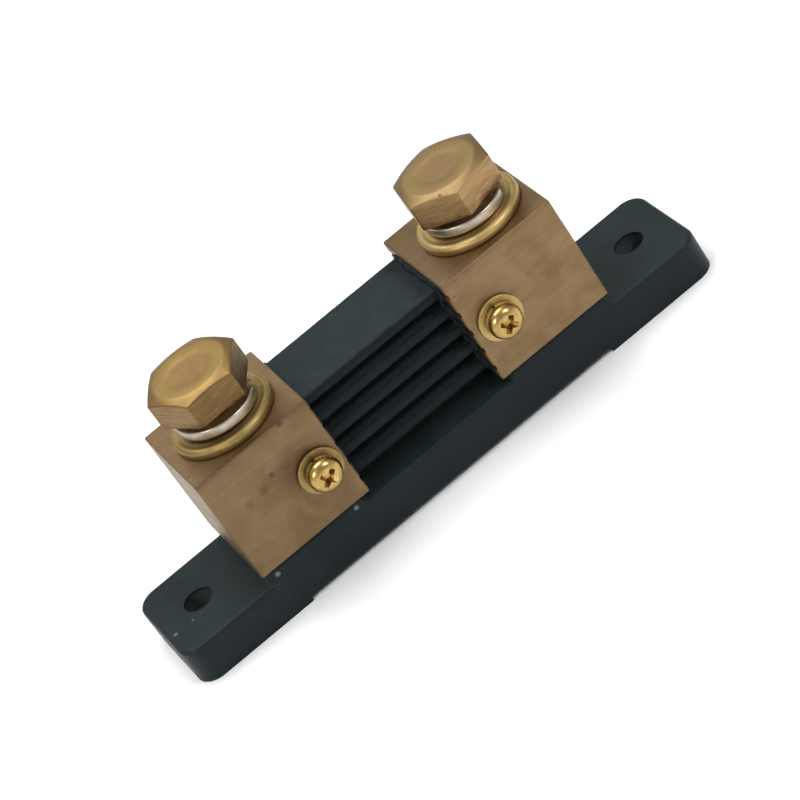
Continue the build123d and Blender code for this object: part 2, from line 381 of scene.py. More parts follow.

# %% [markdown]
# ## Terminal blocks
# The blocks are sawn and milled from brass bar and left bare, so they have dulled to a brown. Faint cutter
# lines run along the bar, and there are small dark pits, rubbed patches and a brown smudge by each sense
# screw. Noise squeezed along X makes the lines. Fades from left to right and from front to back darken the
# left block's front and the right block's top as painted shade, and pits and smudges are placed by their
# distance from a point.

# %% Block colour
block_finish = Finish("brass_block", metallic=1.0, roughness=0.45)
fine = block_finish.place()
lines = block_finish.noise(block_finish.place((0.05, 1.0, 1.0)), 3.4, 4.0, 0.6)
broad_lines = block_finish.noise(block_finish.place((0.03, 0.7, 0.7)), 0.9, 2.0)
cloud = block_finish.noise(fine, 0.13, 4.0, 0.62, 0.4)
grain = block_finish.noise(fine, 6.0, 2.0)
brown = block_finish.ramp(
    cloud, [(0.3, (0.20, 0.129, 0.064)), (0.5, (0.238, 0.156, 0.08)), (0.72, (0.275, 0.184, 0.097))]
)
to_right = block_finish.fade("X", -10.0, 10.0)
to_back = block_finish.fade("Y", -12.3, -8.5)
# painted shade: the left block's front face and the right block's top are darkened, each face toned to the
# light it gets
block_front_shade = block_finish.mix(to_right, (0.81, 0.81, 0.81), (1.0, 1.0, 1.0))
block_top_shade = block_finish.mix(to_right, (1.0, 1.0, 1.0), (0.75, 0.75, 0.75))
brown = block_finish.mix(1.0, brown, block_finish.mix(to_back, block_front_shade, block_top_shade), GREY)
dark_lines = block_finish.ramp(lines, [(0.35, 0.34), (0.6, 0.0)])
pale_lines = block_finish.ramp(broad_lines, [(0.55, 0.0), (0.8, 0.4)])
lined = block_finish.mix(dark_lines, brown, (0.15, 0.1, 0.055))
lined = block_finish.mix(pale_lines, lined, (0.26, 0.18, 0.1))
pits = block_finish.specks(fine, 0.17, 0.06)
pit_patches = block_finish.ramp(block_finish.noise(fine, 0.3, 1.0), [(0.42, 0.0), (0.52, 0.75)])
shade = block_finish.mix(block_finish.times(pits, pit_patches), lined, (0.05, 0.04, 0.03))

# %% Block marks
block_low, block_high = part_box("left_terminal_block")
FRONT_Y, TOP_Z = block_low.y, block_high.z
# painted shade: the front top edge is darkened, so its highlight doesn't shine as a line
near_front = block_finish.fade("Y", FRONT_Y / MM + 1.1, FRONT_Y / MM + 0.5)
near_top = block_finish.fade("Z", TOP_Z / MM - 1.0, TOP_Z / MM - 0.5)
painted_edge_shade = block_finish.times(near_front, near_top)
shade = block_finish.mix(painted_edge_shade, shade, block_finish.mix(1.0, shade, (0.86, 0.86, 0.86), GREY))
# pits and smudges on the left block's front: X, Z and reach in millimetres, then strength
MARKS = (
    (-21.7, 33.7, 1.0, 0.75),
    (-28.0, 26.5, 0.9, 0.75),
    (-21.3, 24.8, 2.4, 0.4),
    (-30.8, 24.9, 1.6, 0.4),
    (-34.3, 24.5, 1.5, 0.35),
    (-24.6, 21.8, 1.1, 0.35),
)
for x, z, reach, strength in MARKS:
    mark = block_finish.around((x * MM, FRONT_Y, z * MM), reach * MM)
    mark = block_finish.times(mark, strength)
    shade = block_finish.mix(mark, shade, (0.055, 0.04, 0.028))
# the brown smudge above and left of each sense screw: reach in millimetres, then strength
SMUDGES = (("left", 7.0, 0.95), ("right", 5.5, 0.4))
for side, reach, depth in SMUDGES:
    low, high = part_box(f"{side}_sense_flat_washer")
    middle = (low + high) / 2
    smudge = block_finish.around((middle.x - 2.2 * MM, low.y, middle.z + 3.4 * MM), reach * MM)
    patchy = block_finish.ramp(cloud, [(0.3, depth), (0.6, depth * 0.5)])
    broken = block_finish.times(smudge, patchy)
    shade = block_finish.mix(broken, shade, (0.075, 0.042, 0.02))
block_finish.colour(shade)
block_finish.rough(block_finish.ramp(cloud, [(0.3, 0.52), (0.7, 0.4)]))
first = block_finish.bump(lines, 0.012)
block_finish.bump(grain, 0.004, first)
give(block_finish, "left_terminal_block", "right_terminal_block")
tell(block_finish)

# %% [markdown]
# ## Brighter brass
# Bolts, washers and small screws are tumbled brass. The bolt heads are forged: a pinkish dish in the middle,
# a yellower ring round it and streaks along the flats. Attributes on the bolt mesh say how far each point is
# from the axis, whether it is on a flat and how much painted light that flat gets, from shaded brown to lit
# pale, so the finish can follow the head's shape.

# %% Bolt finish
bolt_finish = Finish("brass_bolt", metallic=1.0, roughness=0.38)
fine = bolt_finish.place()
cloud = bolt_finish.noise(fine, 0.25, 4.0, 0.62)
streaks = bolt_finish.noise(bolt_finish.place((0.12, 0.12, 1.4)), 1.6, 4.0, 0.65)
uneven = bolt_finish.ramp(cloud, [(0.3, 0.0), (0.7, 0.1)])
from_axis = bolt_finish.arithmetic("ADD", bolt_finish.attribute("from_axis"), uneven)
crown = bolt_finish.ramp(from_axis, [
    (0.38, (0.34, 0.2, 0.083)),
    (0.5, (0.33, 0.22, 0.077)),
    (0.74, (0.34, 0.232, 0.08)),
    (0.84, (0.245, 0.16, 0.06)),
])
dull = bolt_finish.mix(bolt_finish.ramp(cloud, [(0.35, 0.45), (0.6, 0.0)]), crown, (0.205, 0.124, 0.05))
# painted light: a shaded and a lit copy of the flats' colour; each flat mixes them by the light it gets
shaded_flat = bolt_finish.ramp(
    streaks, [(0.32, (0.135, 0.078, 0.030)), (0.52, (0.19, 0.116, 0.047)), (0.7, (0.24, 0.152, 0.064))]
)
lit_flat = bolt_finish.ramp(
    streaks, [(0.32, (0.32, 0.20, 0.095)), (0.52, (0.43, 0.277, 0.135)), (0.7, (0.52, 0.35, 0.18))]
)
flat = bolt_finish.mix(bolt_finish.attribute("flat_painted_light"), shaded_flat, lit_flat)
# the right head has greyed a little more than the left one
greyed = bolt_finish.times(bolt_finish.fade("X", -5.0, 5.0), 0.4)
dull = bolt_finish.mix(greyed, dull, (0.24, 0.175, 0.098))
sided = bolt_finish.mix(bolt_finish.attribute("on_side"), dull, flat)
stain_patches = bolt_finish.ramp(bolt_finish.noise(fine, 0.45, 2.0), [(0.42, 0.0), (0.56, 0.8)])
stain = bolt_finish.times(bolt_finish.attribute("lower_rim"), stain_patches)
stained = bolt_finish.mix(stain, sided, (0.12, 0.052, 0.026))
pit = bolt_finish.around((25.5 * MM, -7.2 * MM, 45.95 * MM), 0.55 * MM)
bolt_finish.colour(bolt_finish.mix(pit, stained, (0.04, 0.028, 0.02)))
bolt_finish.rough(bolt_finish.ramp(cloud, [(0.3, 0.52), (0.7, 0.42)]))
first = bolt_finish.bump(cloud, 0.05)
second = bolt_finish.bump(bolt_finish.noise(fine, 2.2, 4.0, 0.65), 0.016, first)
bolt_finish.bump(bolt_finish.times(streaks, bolt_finish.attribute("on_side")), 0.014, second)
tell(bolt_finish)

# %% [markdown]
# ## Washers, small screws, spring steel and zinc
# The flat washers are stamped and tumbled soft and the small screws are the brightest brass. The spring
# washers are plated steel, and the screws from below are zinc plated. Each is one metal with a cloud of
# slightly different colour and roughness, which keeps it from looking like a mirror.

# %% Washer finish
washer_finish = Finish("brass_washer", metallic=1.0, roughness=0.3)
fine = washer_finish.place()
cloud = washer_finish.noise(fine, 0.35, 3.0)
left_brass = washer_finish.ramp(cloud, [(0.3, (0.275, 0.19, 0.071)), (0.7, (0.385, 0.275, 0.112))])
right_brass = washer_finish.ramp(cloud, [(0.3, (0.40, 0.284, 0.111)), (0.7, (0.54, 0.395, 0.166))])
washer_finish.colour(washer_finish.mix(washer_finish.fade("X", -5.0, 5.0), left_brass, right_brass))
washer_finish.rough(washer_finish.ramp(cloud, [(0.3, 0.52), (0.7, 0.42)]))
first = washer_finish.bump(washer_finish.noise(fine, 0.5, 2.0), 0.05)
washer_finish.bump(washer_finish.noise(fine, 4.0, 3.0), 0.006, first)
give(washer_finish, *[f"{s}_sense_flat_washer" for s in SIDES])
tell(washer_finish)

# %% Screw, spring and zinc finishes
def clouded_metal(name, roughness, scale, dark, pale, bump_scale, depth, sheen=None):
    """A metal that drifts between two close colours; sheen is its roughness where dark and where pale."""
    made = Finish(name, metallic=1.0, roughness=roughness)
    fine = made.place()
    cloud = made.noise(fine, scale, 3.0)
    made.colour(made.ramp(cloud, [(0.3, dark), (0.7, pale)]))
    if sheen:
        made.rough(made.ramp(cloud, [(0.3, sheen[0]), (0.7, sheen[1])]))
    made.bump(made.noise(fine, bump_scale, 3.0), depth)
    tell(made)
    return made


screw_finish = clouded_metal(
    "brass_screw", 0.22, 0.9, (0.41, 0.265, 0.085), (0.56, 0.385, 0.145), 1.6, 0.02, (0.32, 0.23)
)
spring_finish = clouded_metal(
    "spring_steel", 0.24, 0.5, (0.37, 0.31, 0.24), (0.55, 0.485, 0.405), 3.0, 0.01, (0.4, 0.3)
)
zinc_finish = clouded_metal("zinc_screw", 0.35, 0.8, (0.42, 0.43, 0.45), (0.60, 0.61, 0.62), 2.5, 0.01)
give(zinc_finish, *[f"{s}_{p}_base_screw" for s in SIDES for p in ("front", "back")])

# %% [markdown]
# ## Black lacquer
# The plates wear thick brushed lacquer. It pools against the right block, its front faces are darkened as
# painted shade, and the shaded gaps of the stack are lightened as painted light. Position decides each of
# these, with noise to make their borders uneven.

# %% Lacquer finish
lacquer_finish = Finish("painted_plate", metallic=0.0, roughness=0.5, specular=0.08)
fine = lacquer_finish.place()
cloud = lacquer_finish.noise(fine, 0.35, 4.0, 0.65)
skin = lacquer_finish.noise(fine, 1.5, 4.0, 0.6)
thin = lacquer_finish.ramp(cloud, [(0.3, (0.0135, 0.0208, 0.023)), (0.7, (0.0198, 0.0297, 0.0318))])
parts = lacquer_finish.node("ShaderNodeSeparateXYZ")
lacquer_finish.join(fine, parts.inputs["Vector"])
# the pool against the right block, whose border wanders by POOL_WANDER millimetres
POOL_WANDER, POOL_RANGE = 7.0, 24.0
wander = lacquer_finish.times(cloud, POOL_WANDER)
spread = lacquer_finish.arithmetic("ADD", parts.outputs["X"], wander)
pooled = lacquer_finish.ramp(
    lacquer_finish.arithmetic("DIVIDE", spread, POOL_RANGE), [(0.6, 0.0), (0.7, 0.85)]
)
shade = lacquer_finish.mix(pooled, thin, (0.006, 0.0095, 0.011))
stack_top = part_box("resistor_plate_1")[1].z / MM
# painted light: below the stack's top the lacquer is lightened, so the shaded gaps between plates read lighter
outside = lacquer_finish.fade("Z", stack_top - 1.2, stack_top - 0.4)
shade = lacquer_finish.mix(outside, (0.021, 0.030, 0.033), shade)
# painted shade: a dark band over the plates' front faces, its border made uneven by noise
half_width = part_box("resistor_plate_1")[0].y / MM
shade_wander = lacquer_finish.times(cloud, 1.6)
behind_edge = lacquer_finish.arithmetic("SUBTRACT", parts.outputs["Y"], half_width)
shade_depth = lacquer_finish.arithmetic("SUBTRACT", behind_edge, shade_wander)
plate_front_shade = lacquer_finish.ramp(lacquer_finish.arithmetic("ADD", shade_depth, 0.6), [(0.0, 0.75), (0.6, 0.0)])
lacquer_finish.colour(lacquer_finish.mix(plate_front_shade, shade, (0.004, 0.0068, 0.008)))
lacquer_finish.rough(lacquer_finish.ramp(cloud, [(0.3, 0.42), (0.7, 0.58)]))
first = lacquer_finish.bump(cloud, 0.06)
lacquer_finish.bump(skin, 0.03, first)
tell(lacquer_finish)

# %% [markdown]
# ## Terminal bolts
# A hexagon bolt is a forged head on a rolled thread. Both are one skin of rings stacked along the axis: a
# ring of the thread follows a height that depends on angle and position, and a ring of the head follows
# the hexagon. Rings give the crown its true arcs where the cone cuts the flats, and every edge its radius.

# %% Ring skins
def skin_of_rings(rings, bottom, top):
    """Joins rings in order, outward facing when they climb, and closes both ends with a centre point."""
    count = len(rings[0])
    points = [p for ring in rings for p in ring] + [bottom, top]
    faces = []
    for low in range(len(rings) - 1):
        for j in range(count):
            k = (j + 1) % count
            faces.append((low * count + j, low * count + k, (low + 1) * count + k, (low + 1) * count + j))
    last = (len(rings) - 1) * count
    for j in range(count):
        k = (j + 1) % count
        faces.append((len(points) - 2, k, j))
        faces.append((len(points) - 1, last + j, last + k))
    return points, faces


def thread_radius(angle, height, major, pitch, tip, runout):
    """Radius of a right-hand thread, cut back to a cone at the tip and fading out below the head."""
    turn = (height / pitch - angle / math.tau) % 1.0
    groove = 0.5 + 0.5 * math.cos(math.tau * turn)
    groove = min(1.0, max(0.0, (groove - 0.12) / 0.7))
    depth = 0.58 * pitch * groove * min(1.0, max(0.0, runout / pitch))
    return min(major - depth, major - 0.75 * pitch + tip)


def sixths(steps):
    """Angles round a hexagon, crowded towards its corners."""
    half = [30 * math.sin(math.pi / 2 * (s / steps)) for s in range(-steps, steps)]
    return [math.radians(60 * k + 30 + h) for k in range(6) for h in half]


def thread_rings(sizes, angles, bottom, rows):
    """Rings of a thread about Z, from its tip at bottom up to the head's underside."""
    rings = []
    for row in range(rows + 1):
        height = row * sizes["length"] / rows
        left = sizes["length"] - height
        ring = []
        for angle in angles:
            radius = thread_radius(angle, height, sizes["major"], sizes["pitch"], height, left)
            ring.append((radius * math.cos(angle), radius * math.sin(angle), bottom + height))
        rings.append(ring)
    return rings


def ring_at(radii, angles, heights):
    """A ring whose radius and height may differ at each angle."""
    return [(r * math.cos(a), r * math.sin(a), z) for r, a, z in zip(radii, angles, heights)]


# %% Hexagon head
SHARPNESS = 70     # a higher power gives the hexagon sharper corners
CONE = math.tan(math.radians(20))     # slope of the chamfer on top of the head


def hexagon(angles, turned, flats):
    """Radius of a hexagon at each angle, with a slightly eased corner."""
    normals = [math.radians(60 * k + 30 + turned) for k in range(6)]
    reach = [sum(max(0.0, math.cos(a - n) / flats) ** SHARPNESS for n in normals) for a in angles]
    return [r ** (-1 / SHARPNESS) for r in reach]


def bolt_rings(head_bottom, sizes, turned):
    """Rings of one bolt about the Z axis in millimetres, from tip to crown."""
    angles = [angle + math.radians(turned) for angle in sixths(12)]
    rows = int(sizes["length"] / (sizes["pitch"] / 10))
    rings = thread_rings(sizes, angles, head_bottom - sizes["length"], rows)
    crown, tall, slope = sizes["crown"] / 2, sizes["tall"], CONE
    outline = hexagon(angles, turned, sizes["flats"] / 2)
    for inward, height in ((-0.9, 0.0), (-0.35, 0.0), (-0.11, 0.09), (0.0, 0.32)):
        rings.append(ring_at([r + inward for r in outline], angles, [head_bottom + height] * len(angles)))
    # up the flats, then over the arcs where the cone cuts them
    edges = [tall - (r - crown) * slope for r in outline]
    for share in (0.25, 0.5, 0.75, 1.0):
        heights = [head_bottom + 0.32 + (edge - 0.28 - 0.32) * share for edge in edges]
        rings.append(ring_at(outline, angles, heights))
    for inward, lift in ((0.03, -0.13), (0.12, -0.01), (0.26, 0.07), (0.5, 0.5 * slope)):
        rings.append(ring_at([r - inward for r in outline], angles, [head_bottom + e + lift for e in edges]))
    # the crown and its dish, whose rim wanders a little
    dish = [(crown + 0.32, -0.32 * slope), (crown + 0.12, -0.035), (crown - 0.25, 0.0), (5.5, 0.0)]
    dish += [(5.0, -0.008), (4.6, -0.03), (4.2, -0.065), (3.8, -0.09), (3.3, -0.1), (2.2, -0.1), (1.0, -0.095)]
    wave = [0.14 * math.sin(3 * a + 0.6) + 0.1 * math.sin(5 * a + 2.1) for a in angles]
    for radius, drop in dish:
        wander = radius / 4.4 if radius < 5 else 0.0
        level = [head_bottom + tall + drop] * len(angles)
        rings.append(ring_at([radius + wander * w for w in wave], angles, level))
    return rings


# %% Pieces and their attributes
BOLT = dict(major=4.98, pitch=1.5, length=20.0, flats=17.0, crown=14.4, tall=6.4)
TURNED = {"left": 0.0, "right": 22.0}     # degrees
# painted light: how far each of the six flats is lightened from its shaded brown to its lit pale,
# anticlockwise
FLAT_PAINTED_LIGHT = {"left": (0.3, 0.1, 0.4, 0.22, 0.0, 0.1), "right": (0.4, 0.2, 0.5, 0.34, 0.72, 0.5)}


def finished_piece(name, points, faces, finish, slot, body, *stands_for):
    """One mesh of the object, smooth shaded, riding on its body."""
    made = plain_mesh(name, points, faces)
    made.data.shade_smooth()
    made.data.materials.append(finish.material)
    if stands_for:
        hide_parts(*stands_for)
    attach(made, body)
    return made


def number_on_points(made, name, values):
    """Stores a number on every point, for a finish to read by name."""
    layer = made.data.attributes.new(name, "FLOAT", "POINT")
    layer.data.foreach_set("value", values)


def on_side(x, y, up):
    """1 on a head's flats and 0 on its crown and underside; up is the height above the underside."""
    reach = math.hypot(x, y)
    arc = BOLT["tall"] - (reach - BOLT["crown"] / 2) * CONE - 0.1
    return 1.0 if reach > 7.9 and 0.1 < up < arc else 0.0


# %% Make the bolts
for side in SIDES:
    low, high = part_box(f"{side}_terminal_bolt")
    axis_x = (low.x + high.x) / 2 / MM
    head_bottom = high.z / MM - BOLT["tall"]
    rings = bolt_rings(head_bottom, BOLT, TURNED[side])
    centre_z = head_bottom + BOLT["tall"] - 0.095
    points, faces = skin_of_rings(rings, (0, 0, head_bottom - BOLT["length"]), (0, 0, centre_z))
    moved = [((x + axis_x) * MM, y * MM, z * MM) for x, y, z in points]
    bolt = finished_piece(
        f"{side}_bolt", moved, faces, bolt_finish, "brass_bolt", f"{side}_bolt", f"{side}_terminal_bolt"
    )
    number_on_points(bolt, "from_axis", [math.hypot(x, y) / 10 for x, y, z in points])
    number_on_points(bolt, "on_side", [on_side(x, y, z - head_bottom) for x, y, z in points])
    turned = math.radians(TURNED[side])
    sixth = [int((math.atan2(y, x) - turned + 1e-6) % math.tau / (math.tau / 6)) for x, y, z in points]
    number_on_points(bolt, "flat_painted_light", [FLAT_PAINTED_LIGHT[side][k] for k in sixth])
    rim = [max(0.0, 1 - abs(z - head_bottom - 0.7) / 1.4) for x, y, z in points]
    number_on_points(bolt, "lower_rim", rim)
    print(bolt.name, len(faces), "faces")

# %% [markdown]
# ## Flat washers
# A tumbled washer has lost its crisp rim: the outer edge is a wide soft roll with a shallow groove just
# inside it. Its section is drawn once as a loop of radius and height, then swept round the axis.

# %% Flat washers
def swept_section(section, steps, wander):
    """Points and faces of a closed section, run anticlockwise, swept round Z; wander shifts it a little."""
    angles = [math.tau * k / steps for k in range(steps)]
    points = []
    for radius, height in section:
        for a in angles:
            r = radius + wander * math.sin(2 * a + 0.7) * (radius / section[0][0]) ** 4
            points.append((r * math.cos(a), r * math.sin(a), height))
    faces = []
    for i in range(len(section)):
        n = (i + 1) % len(section)
        for j in range(steps):
            k = (j + 1) % steps
            faces.append((i * steps + j, i * steps + k, n * steps + k, n * steps + j))
    return points, faces


def washer_section(outer, bore, thick):
    roll = [math.radians(10 * k) for k in range(10)]
    section = [(outer - 0.35, 0.0), (outer - 0.1, 0.09), (outer, 0.35)]
    section += [(outer - 1.0 + 1.0 * math.cos(t), thick - 0.95 + 0.95 * math.sin(t)) for t in roll]
    section += [(outer - 1.3, thick - 0.05), (outer - 1.6, thick - 0.1), (outer - 1.9, thick - 0.07)]
    section += [(outer - 2.15, thick), (bore + 0.3, thick), (bore + 0.08, thick - 0.08), (bore, thick - 0.3)]
    section += [(bore, 0.3), (bore + 0.08, 0.08), (bore + 0.3, 0.0)]
    return section


for side in SIDES:
    low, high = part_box(f"{side}_flat_washer")
    outer, thick = (high.x - low.x) / 2 / MM, (high.z - low.z) / MM
    section = washer_section(outer - 0.02, 5.25, thick)
    points, faces = swept_section(section, 144, 0.02)
    middle = Vector(((low.x + high.x) / 2, (low.y + high.y) / 2, low.z))
    points = [(middle.x + x * MM, middle.y + y * MM, middle.z + z * MM) for x, y, z in points]
    washer = finished_piece(
        f"{side}_washer", points, faces, washer_finish, "brass_washer", "root", f"{side}_flat_washer"
    )
    print(washer.name, len(faces), "faces")

# %% [markdown]
# ## Spring washers
# A spring washer is flat wire coiled for just under one turn and cut. Geometry Nodes suit it: a spiral is the
# path and a rounded rectangle is the wire, so one tree with named sizes makes the big ones under the bolts and
# the small ones under the sense screws.

# %% Node tree kit
def new_tree(name, *labels, counts=()):
    """A Geometry Nodes tree with named inputs; returns it, its two end nodes and the inputs' ids."""
    tree = bpy.data.node_groups.new(name, "GeometryNodeTree")
    kinds = {label: "NodeSocketFloat" for label in labels}
    kinds.update({label: "NodeSocketInt" for label in counts}, Material="NodeSocketMaterial")
    ids = {}
    for label, kind in kinds.items():
        ids[label] = tree.interface.new_socket(label, in_out="INPUT", socket_type=kind).identifier
    tree.interface.new_socket("Geometry", in_out="OUTPUT", socket_type="NodeSocketGeometry")
    return tree, tree.nodes.new("NodeGroupInput"), tree.nodes.new("NodeGroupOutput"), ids


def end_tree(tree, geometry, given, out):
    """Shades smooth, realizes instances, sets the material and ends the tree."""
    smooth = new_node(tree, "GeometryNodeSetShadeSmooth")
    realize = new_node(tree, "GeometryNodeRealizeInstances")
    paint = new_node(tree, "GeometryNodeSetMaterial")
    link_all(
        tree,
        (geometry, smooth.inputs["Geometry"]),
        (smooth.outputs["Geometry"], realize.inputs["Geometry"]),
        (realize.outputs["Geometry"], paint.inputs["Geometry"]),
        (given.outputs["Material"], paint.inputs["Material"]),
        (paint.outputs["Geometry"], out.inputs["Geometry"]),
    )


def grown(name, tree, ids, values):
    """Runs a tree with its inputs set and returns the result's mesh, plain and free of the modifier."""
    seed = plain_mesh(name + "_seed", [(0, 0, 0)], [])
    run = seed.modifiers.new(name, "NODES")
    run.node_group = tree
    for label, value in values.items():
        run[ids[label]] = value
    bpy.context.view_layer.update()
    evaluated = seed.evaluated_get(bpy.context.evaluated_depsgraph_get())
    mesh = bpy.data.meshes.new_from_object(evaluated)
    bpy.data.objects.remove(seed)
    mesh.name = name
    return mesh


def placed(name, mesh, move, slot, body, *stands_for):
    """An object from a grown mesh, its place baked into the points, riding on its body."""
    mesh.transform(move)
    made = bpy.data.objects.new(name, mesh)
    bpy.context.collection.objects.link(made)
    if stands_for:
        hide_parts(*stands_for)
    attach(made, body)
    return made


# %% Coil tree
coil, given, out, coil_ids = new_tree(
    "coiled_wire", "Mean Radius", "Width", "Height", "Edge Radius", "Rise", "Turns"
)
path = new_node(coil, "GeometryNodeCurveSpiral", {"Resolution": 140})
normals = new_node(coil, "GeometryNodeSetCurveNormal", mode="Z_UP")
wire = new_node(coil, "GeometryNodeCurvePrimitiveQuadrilateral")
corners = new_node(coil, "GeometryNodeFilletCurve", {"Count": 5}, mode="POLY")
sweep = new_node(coil, "GeometryNodeCurveToMesh", {"Fill Caps": True})
link_all(
    coil,
    (given.outputs["Turns"], path.inputs["Rotations"]),
    (given.outputs["Mean Radius"], path.inputs["Start Radius"]),
    (given.outputs["Mean Radius"], path.inputs["End Radius"]),
    (given.outputs["Rise"], path.inputs["Height"]),
    (path.outputs["Curve"], normals.inputs["Curve"]),
    (given.outputs["Width"], wire.inputs["Width"]),
    (given.outputs["Height"], wire.inputs["Height"]),
    (wire.outputs["Curve"], corners.inputs["Curve"]),
    (given.outputs["Edge Radius"], corners.inputs["Radius"]),
    (normals.outputs["Curve"], sweep.inputs["Curve"]),
    (corners.outputs["Curve"], sweep.inputs["Profile Curve"]),
)
end_tree(coil, sweep.outputs["Mesh"], given, out)
print("coil tree", len(coil.nodes), "nodes")

# %% Spring washers
SPLIT = {"left": 335.0, "right": 325.0}     # where the cut stands, in degrees from +X
GAP_ANGLE = 12.0
TURNS = 1 - GAP_ANGLE / 360
BIG_COIL = {"Mean Radius": 6.7, "Width": 2.9, "Height": 2.1, "Edge Radius": 0.42}
for side in SIDES:
    low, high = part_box(f"{side}_spring_washer")
    sizes = {k: v * MM for k, v in BIG_COIL.items()}
    sizes["Rise"] = high.z - low.z - sizes["Height"]
    mesh = grown(f"{side}_coil", coil, coil_ids, dict(sizes, Turns=TURNS, Material=spring_finish.material))
    start = math.radians(SPLIT[side] - GAP_ANGLE / 2)
    bolt_low, bolt_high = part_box(f"{side}_terminal_bolt")
    centre = Vector((bolt_low.x + bolt_high.x, 0, 0)) / 2
    centre.z = low.z + BIG_COIL["Height"] / 2 * MM
    move = Matrix.Translation(centre) @ Matrix.Rotation(start, 4, "Z")
    ring = placed(f"{side}_coil", mesh, move, "spring_steel", f"{side}_lock_washer", f"{side}_spring_washer")
    top = max(v.co.z for v in mesh.vertices)
    print(ring.name, "top", round(top / MM, 2), "of", round(high.z / MM, 2), "mm")

# %% [markdown]
# ## Small spring washers
# The same tree makes these with smaller sizes. They stand on the block's front face, so what is made about +Z
# is turned to point forwards, and the same turn serves the sense screws later.

# %% Small spring washers
SMALL_COIL = {"Mean Radius": 2.75, "Width": 1.2, "Height": 0.9, "Edge Radius": 0.18, "Rise": 0.15}
SMALL_SPLIT = 95.0     # degrees
# turns a piece made about +Z so that it stands about -Y, with its own Y pointing up
FACE_FORWARD = Matrix(((1, 0, 0, 0), (0, 0, -1, 0), (0, 1, 0, 0), (0, 0, 0, 1)))
for side in SIDES:
    low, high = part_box(f"{side}_sense_spring_washer")
    sizes = {k: v * MM for k, v in SMALL_COIL.items()}
    sizes.update(Turns=TURNS, Material=washer_finish.material)
    mesh = grown(f"{side}_small_coil", coil, coil_ids, sizes)
    screw_low, screw_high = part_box(f"{side}_sense_screw")
    centre = (screw_low + screw_high) / 2
    centre.y = high.y - SMALL_COIL["Height"] / 2 * MM
    start = math.radians(SMALL_SPLIT - GAP_ANGLE / 2)
    move = Matrix.Translation(centre) @ FACE_FORWARD @ Matrix.Rotation(start, 4, "Z")
    ring = placed(
        f"{side}_small_coil", mesh, move, "brass_washer",
        f"{side}_sense_lock_washer", f"{side}_sense_spring_washer",
    )
    front = min(v.co.y for v in mesh.vertices)
    print(ring.name, "front", round(front / MM, 2), "of", round(low.y / MM, 2), "mm")

# %% [markdown]
# ## Sense screws
# The little screws that hold the meter's wires have a domed head with a cross recess and a fine thread.
# The head and thread are ring skins like the bolts'. The recess is not round, so it is cut with a boolean:
# a cross that narrows as it goes in, the way the punch that formed it is shaped.

# %% Screw body
SCREW = dict(major=1.98, pitch=0.7, length=8.0, head=6.8, tall=2.3, dome=1.9)


def screw_rings(sizes):
    """Rings of a screw about +Z in millimetres; the underside of its head lies on z=0."""
    angles = [math.tau * k / 96 for k in range(96)]
    rows = int(sizes["length"] / (sizes["pitch"] / 9))
    rings = thread_rings(sizes, angles, -sizes["length"], rows)
    wide, dome, flat = sizes["head"] / 2, sizes["dome"], sizes["tall"] - sizes["dome"]
    profile = [(wide - 0.5, 0.0), (wide - 0.12, 0.0), (wide - 0.03, 0.04), (wide, 0.14), (wide, flat)]
    for step in range(1, 11):
        turn = math.pi / 2 * step / 10
        profile.append((wide - dome + dome * math.cos(turn), flat + dome * math.sin(turn)))
    profile += [(1.1, sizes["tall"]), (0.6, sizes["tall"])]
    rings += [[(r * math.cos(a), r * math.sin(a), z) for a in angles] for r, z in profile]
    return rings


# %% Recess tool
RECESS = dict(span=3.7, width=1.0, deep=1.45)


def cross(scale, z):
    """A cross of twelve points, its arms shrunk by scale and its inner corners eased."""
    s, w = RECESS["span"] / 2 * scale, RECESS["width"] / 2 * (0.35 + 0.65 * scale)
    k = w * 1.35
    right_arm = [(s, -w), (s, w), (k, k)]
    points = []
    for turn in range(4):
        c, n = ((1, 0), (0, 1), (-1, 0), (0, -1))[turn]
        points += [(x * c - y * n, x * n + y * c, z) for x, y in right_arm]
    return points


def recess_tool(top):
    """The cross that tapers inwards from a head's top, to cut the recess with."""
    rings = [cross(0.42, top - RECESS["deep"]), cross(0.95, top - 0.1), cross(1.3, top + 0.8)]
    return skin_of_rings(rings, (0, 0, top - RECESS["deep"] - 0.12), (0, 0, top + 0.8))


# %% Cut and place the screws
def cut(body, tool):
    """The body with the tool's shape taken out, as a plain mesh."""
    work = body.modifiers.new("cut", "BOOLEAN")
    work.operation = "DIFFERENCE"
    work.solver = "EXACT"
    work.object = tool
    bpy.context.view_layer.update()
    mesh = bpy.data.meshes.new_from_object(body.evaluated_get(bpy.context.evaluated_depsgraph_get()))
    bpy.data.objects.remove(body)
    bpy.data.objects.remove(tool)
    return mesh


TURNED_SCREW = {"left": 38.0, "right": 52.0}     # degrees
for side in SIDES:
    blank = skin_of_rings(screw_rings(SCREW), (0, 0, -SCREW["length"]), (0, 0, SCREW["tall"]))
    mesh = cut(plain_mesh("screw_blank", *blank), plain_mesh("recess_tool", *recess_tool(SCREW["tall"])))
    mesh.materials.clear()
    mesh.materials.append(screw_finish.material)
    mesh.shade_smooth()
    mesh.set_sharp_from_angle(angle=math.radians(38))
    low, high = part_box(f"{side}_sense_screw")
    centre = (low + high) / 2
    centre.y = low.y + SCREW["tall"] * MM
    turn = Matrix.Rotation(math.radians(TURNED_SCREW[side]), 4, "Z")
    move = Matrix.Translation(centre) @ FACE_FORWARD @ turn @ Matrix.Scale(MM, 4)
    screw = placed(f"{side}_screw", mesh, move, "brass_screw", f"{side}_sense", f"{side}_sense_screw")
    print(screw.name, len(mesh.polygons), "faces")

# %% [markdown]
# ## Resistor plates
# Each plate is a strip of resistance alloy under thick black lacquer. The lacquer pools along the edges and
# bunches up where the plates are soldered in, so no edge is quite straight. One tree sweeps a rounded
# rectangle along the plate, then pushes the skin in and out with noise, more so near the joints.

